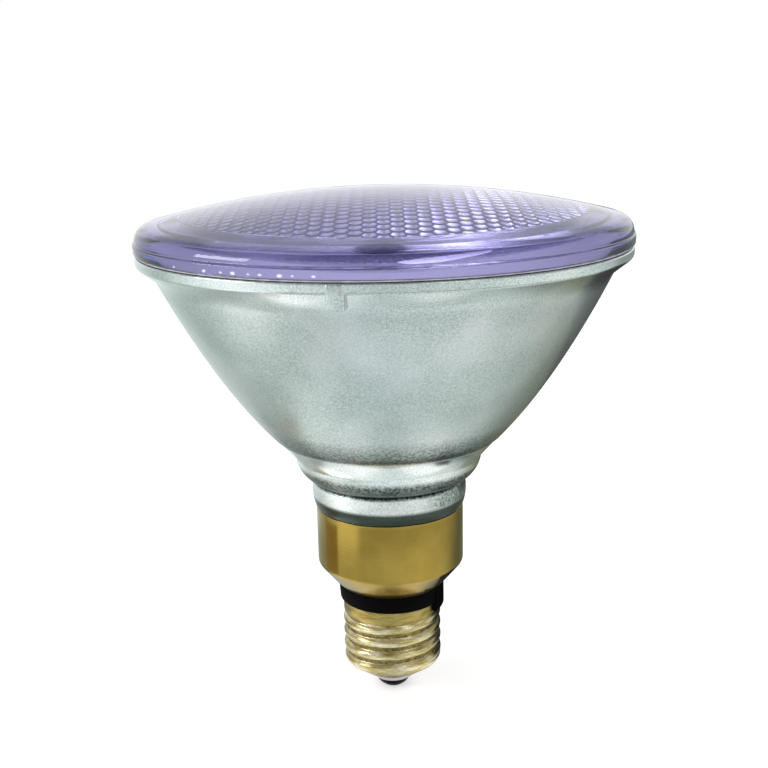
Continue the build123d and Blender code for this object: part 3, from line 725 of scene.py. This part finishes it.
# Contact insulator, dished contact and its solder drop, each as an outline of (radius, height)
tip = {"segments": 128,
       "insulator": [(1.15, 2.8, 0), (5.1, 2.8, 0.4), (8.1, 5.3, 0), (8.1, 5.71, 0), (9.3, 6.5585, 0),
                     (9.3, 8.1883, 0), (1.15, 8.1883, 0)],  # the third number is the corner's radius
       "contact": [(0.7, 0.6), (3.2, 0.6), (3.75, 0.95), (4.2, 1.55), (4.5, 2.25), (4.6, 2.8), (1.05, 2.8),
                   (1.05, 8.1883), (0.7, 8.1883)],
       "solder": [(0, 0), (2.4, 0), (2.75, 0.15), (3.05, 0.38), (3.2, 0.6), (0, 0.6)]}


def buildTip():
    for name, outline, material, node, slot, sharp in (
            ("paleInsulator", roundedOutline(tip["insulator"], 5), paleInsulator,
             "contact_insulator", "pale_insulator", 40),
            ("dishedContact", tip["contact"], darkContact, "centre_contact", "contact_metal", 50),
            ("solderDrop", tip["solder"], darkContact, "contact_solder", "solder", 50)):
        mesh = bmesh.new()
        spinOutline(mesh, outline, tip["segments"])
        finishPiece(name, mesh, [material], node, sharp)


buildTip()
print("base made")

# The pieces inside keep their CAD shapes
for name, material in {
        "capsule_holder": steatite, "capsule_envelope": smokyQuartz, "filament": greyWire,
        "foil_left": greyWire, "foil_right": greyWire, "pin_left": greyWire, "pin_right": greyWire,
        "lead_contact": greyWire, "lead_shell": greyWire, "shell_solder": darkContact,
        "basing_cement": basingCement}.items():
    nodes[name].data.materials.clear()
    nodes[name].data.materials.append(material)


def stagePlane(name, size, material):
    mesh = bmesh.new()
    bmesh.ops.create_grid(mesh, x_segments=1, y_segments=1, size=0.5)
    bmesh.ops.scale(mesh, vec=(*size, 1), verts=mesh.verts)
    data = bpy.data.meshes.new(name)
    mesh.to_mesh(data)
    mesh.free()
    data.materials.append(material)
    plane = bpy.data.objects.new(name, data)
    scene.collection.objects.link(plane)
    return plane


# Floor: pale and matt, white to the camera with the lamp's shadow on it. Glossy surfaces mirror a studio
# floor instead, whose tones change round the lamp (0 left, 0.25 front, 0.5 right, 0.75 behind) and from zone
# to zone outwards.
floorLook = {
    "size": (12.0, 12.0), "paint": "#EDEDED", "lift": 0.5, "mirrorReach": 0.4, "mirrorPower": 2.0,
    "fades": [(0.05, 0.056), (0.072, 0.08), (0.118, 0.138), (0.185, 0.21)],
    "zones": [
        [(0.0, "#FFFFFF"), (0.13, "#FFFFFF"), (0.2, "#DCE3E4"), (0.28, "#D4DBDC"), (0.36, "#FFFFFF"),
         (0.44, "#FFFFFF"), (0.5, "#E6E9E8"), (0.56, "#A0A9A5"), (0.62, "#4A5551"), (0.72, "#56615D"),
         (0.85, "#B0B8B5"), (1.0, "#FFFFFF")],
        [(0.0, "#FFFFFF"), (0.08, "#FFFFFF"), (0.12, "#CCD2D2"), (0.2, "#C4CBCC"), (0.28, "#BDC4C5"),
         (0.36, "#C0C5C4"), (0.44, "#B8BDBB"), (0.5, "#B4B8B6"), (0.56, "#8C9490"), (0.62, "#404A46"),
         (0.72, "#4B5551"), (0.8, "#6A726E"), (0.94, "#848882"), (1.0, "#FFFFFF")],
        [(0.0, "#D2D8D6"), (0.08, "#D0D6D4"), (0.13, "#CED4D4"), (0.25, "#E3EAEC"), (0.38, "#F6F8F8"),
         (0.46, "#E2E7E5"), (0.51, "#BDC4C1"), (0.56, "#838B80"), (0.61, "#6C7163"), (0.72, "#767B6C"),
         (0.8, "#A4ACA9"), (0.9, "#9FA7A3"), (0.96, "#A9B1AD"), (1.0, "#D2D8D6")],
        [(0.0, "#D8DCDA"), (0.03, "#FFFFFF"), (0.1, "#FFFFFF"), (0.13, "#B2B4B2"), (0.25, "#ADAFAE"),
         (0.42, "#B8BAB9"), (0.5, "#BBBEBC"), (0.55, "#9DA197"), (0.6, "#686C5C"), (0.68, "#555949"),
         (0.75, "#6D7672"), (0.8, "#BCC4C2"), (0.88, "#B4BCBA"), (0.94, "#9CA4A0"), (1.0, "#D8DCDA")],
        [(0.0, "#DCE1E1"), (0.1, "#E0E5E5"), (0.18, "#CDD3D3"), (0.25, "#B8BEBF"), (0.33, "#C8CECE"),
         (0.42, "#D6DBDA"), (0.5, "#D4D8D6"), (0.55, "#B4BCB9"), (0.6, "#7B837F"), (0.7, "#6C7571"),
         (0.76, "#929B97"), (0.81, "#C4CCCA"), (0.88, "#B4BCBA"), (0.94, "#A8B0AD"), (0.985, "#D4DAD9"),
         (1.0, "#DCE1E1")]],
    "levels": [(0.018, "#898989"), (0.035, "#D3D3D3"), (0.125, "#D3D3D3"), (0.14, "#F0F0F0"),
               (0.18, "#F0F0F0"), (0.2, "#D3D3D3"), (0.29, "#D3D3D3"), (0.345, "#E7E7E7"), (0.6, "#E7E7E7"),
               (0.74, "#F0F0F0")]}
floorPaint = bpy.data.materials.new("floorPaint")
floorPaint.use_nodes = True
tree = floorPaint.node_tree
tree.nodes.remove(tree.nodes["Principled BSDF"])
place = addNode(tree, "ShaderNodeTexCoord").outputs["Object"]
around = addNode(tree, "ShaderNodeTexGradient", {"gradient_type": "RADIAL"}, {"Vector": place}).outputs["Fac"]
distance = addNode(tree, "ShaderNodeVectorMath", {"operation": "LENGTH"}, {0: place}).outputs["Value"]
tones = [addNode(tree, "ShaderNodeValToRGB", {"stops": stops}, {"Fac": around}).outputs["Color"]
         for stops in floorLook["zones"]]
glow = tones[0]
for (start, end), tone in zip(floorLook["fades"], tones[1:]):
    fade = addNode(tree, "ShaderNodeMapRange", inputs={"Value": distance, "From Min": start, "From Max": end})
    glow = addNode(tree, "ShaderNodeMix", {"data_type": "RGBA"}, {
        0: fade.outputs["Result"], 6: glow, 7: tone}).outputs[2]
# close under the lamp the mirrored floor is dimmed: a painted shadow of the lamp, seen only in reflections
reach = addNode(tree, "ShaderNodeMapRange", inputs={"Value": distance, "From Max": floorLook["mirrorReach"]})
level = addNode(tree, "ShaderNodeValToRGB", {"stops": floorLook["levels"]}, {"Fac": reach.outputs["Result"]})
shade = addNode(tree, "ShaderNodeMapRange", inputs={
    "Value": level.outputs["Color"], "To Max": floorLook["mirrorPower"]})
mirrored = addNode(tree, "ShaderNodeEmission", inputs={"Color": glow, "Strength": shade.outputs["Result"]})
matt = addNode(tree, "ShaderNodeBsdfDiffuse", inputs={"Color": floorLook["paint"]})
lift = addNode(tree, "ShaderNodeEmission", inputs={"Color": "#FFFFFF", "Strength": floorLook["lift"]})
seen = addNode(tree, "ShaderNodeAddShader", inputs={0: matt.outputs[0], 1: lift.outputs[0]})
glossy = addNode(tree, "ShaderNodeLightPath").outputs["Is Glossy Ray"]
addNode(tree, "ShaderNodeMixShader", inputs={0: glossy, 1: seen.outputs[0], 2: mirrored.outputs[0]},
        feeds={"Shader": tree.nodes["Material Output"].inputs["Surface"]})
stagePlane("floor", floorLook["size"], floorPaint)

# Studio round the lamp: white to the camera, and a soft sky that is brighter behind and dimmer overhead.
# Through the lens the room is darker, with one bright window in front on the left that the lenslets pick up.
sky = {"white": "#FFFFFF", "soft": "#F7F8FA", "rearFrom": -0.2, "rearPower": (0.85, 1.22),
       "crownFrom": 0.2, "crownTo": 0.38, "crownPower": (1.0, 0.7), "roomFrom": 0.5, "roomTo": 0.95,
       "roomPower": (0.55, 0.8), "window": (-0.75, -0.25, 0.61), "windowFrom": 0.82, "windowTo": 0.94,
       "windowPower": 3.5}
world = bpy.data.worlds.new("studio")
scene.world = world
world.use_nodes = True
tree = world.node_tree
tree.nodes.remove(tree.nodes["Background"])
path = addNode(tree, "ShaderNodeLightPath").outputs
towards = addNode(tree, "ShaderNodeTexCoord").outputs["Generated"]
parts = addNode(tree, "ShaderNodeSeparateXYZ", inputs={0: towards}).outputs
rear = addNode(tree, "ShaderNodeMapRange", inputs={
    "Value": parts["Y"], "From Min": sky["rearFrom"],
    "To Min": sky["rearPower"][0], "To Max": sky["rearPower"][1]})
crown = addNode(tree, "ShaderNodeMapRange", inputs={
    "Value": parts["Z"], "From Min": sky["crownFrom"], "From Max": sky["crownTo"],
    "To Min": sky["crownPower"][0], "To Max": sky["crownPower"][1]})
power = addNode(tree, "ShaderNodeMath", {"operation": "MULTIPLY"}, {
    0: rear.outputs["Result"], 1: crown.outputs["Result"]})
facing = addNode(tree, "ShaderNodeVectorMath", {"operation": "DOT_PRODUCT"}, {0: towards, 1: sky["window"]})
zenith = addNode(tree, "ShaderNodeMapRange", inputs={
    "Value": parts["Z"], "From Min": sky["roomFrom"], "From Max": sky["roomTo"],
    "To Min": sky["roomPower"][0], "To Max": sky["roomPower"][1]})
window = addNode(tree, "ShaderNodeMapRange", inputs={
    "Value": facing.outputs["Value"], "From Min": sky["windowFrom"], "From Max": sky["windowTo"],
    "To Min": zenith.outputs["Result"], "To Max": sky["windowPower"]})
white = addNode(tree, "ShaderNodeBackground", inputs={"Color": sky["white"], "Strength": 1.0})
soft = addNode(tree, "ShaderNodeBackground", inputs={
    "Color": sky["soft"], "Strength": power.outputs["Value"]})
room = addNode(tree, "ShaderNodeBackground", inputs={
    "Color": sky["soft"], "Strength": window.outputs["Result"]})
lit = addNode(tree, "ShaderNodeMixShader", inputs={
    0: path["Is Transmission Ray"], 1: soft.outputs[0], 2: room.outputs[0]})
addNode(tree, "ShaderNodeMixShader",
        inputs={0: path["Is Camera Ray"], 1: lit.outputs[0], 2: white.outputs[0]},
        feeds={"Shader": tree.nodes["World Output"].inputs["Surface"]})

# Lights: shape, place, size and power; they all point at the lamp
lights = {"leftWindow": ("RECTANGLE", (-0.9, -0.26, 0.33), (0.5, 0.2), 2.4),
          "topWindow": ("ELLIPSE", (0.36, 0.0, 1.25), (0.17, 0.6), 1.7),
          "rightPanel": ("RECTANGLE", (0.55, -0.9, 0.55), (0.5, 0.6), 1.0)}
lampMiddle = Vector((0, 0, 0.07))
for name, (shape, spot, size, watts) in lights.items():
    light = bpy.data.lights.new(name, "AREA")
    light.shape = shape
    light.size, light.size_y = size
    light.energy = watts
    holder = bpy.data.objects.new(name, light)
    holder.location = spot
    holder.rotation_euler = (lampMiddle - Vector(spot)).to_track_quat("-Z", "Y").to_euler()
    scene.collection.objects.link(holder)

# Cards out of the camera's sight: a dark one above, two low dark flags that darken the right edges, and a
# brown one that the skirt mirrors on its left; each has its place, size, aim and material
cards = {"upperCard": ((0.0, -0.25, 0.62), (0.2, 0.22), (0.0, 0.03, 0.1), shadeBlack),
         "rightFlag": ((0.13, 0.15, 0.035), (0.2, 0.07), (0.0, 0.0, 0.035), shadeBlack),
         "baseFlag": ((0.0274, 0.0165, 0.012), (0.0416, 0.024), (0.0, 0.0, 0.012), shadeBlack),
         "leftFlag": ((-0.058, 0.001, 0.025), (0.028, 0.018), (0.0, 0.0, 0.025), kraftCard)}
for name, (spot, size, aim, material) in cards.items():
    card = stagePlane(name, size, material)
    card.location = spot
    card.rotation_euler = (Vector(aim) - Vector(spot)).to_track_quat("Z", "Y").to_euler()
    card.visible_camera = card.visible_diffuse = card.visible_shadow = False

# Camera: the length of its lens is given in pixels of the square picture
view = {"place": (0.0, -0.285, 0.15665), "pitch": 14.22, "roll": -1.3, "yaw": 0.16, "lensPixels": 1142.0,
        "pixels": 768, "sensor": 36.0, "nearest": 0.01}
cameraData = bpy.data.cameras.new("camera")
cameraData.sensor_width = view["sensor"]
cameraData.lens = view["lensPixels"] / view["pixels"] * view["sensor"]
cameraData.clip_start = view["nearest"]
camera = bpy.data.objects.new("camera", cameraData)
scene.collection.objects.link(camera)
yaw, pitch, roll = [math.radians(angle) for angle in (view["yaw"], 90 - view["pitch"], view["roll"])]
camera.matrix_world = (Matrix.Translation(view["place"]) @ Matrix.Rotation(yaw, 4, "Z")
                       @ Matrix.Rotation(pitch, 4, "X") @ Matrix.Rotation(roll, 4, "Z"))
scene.camera = camera
scene.view_settings.view_transform = "Standard"
print("stage made")
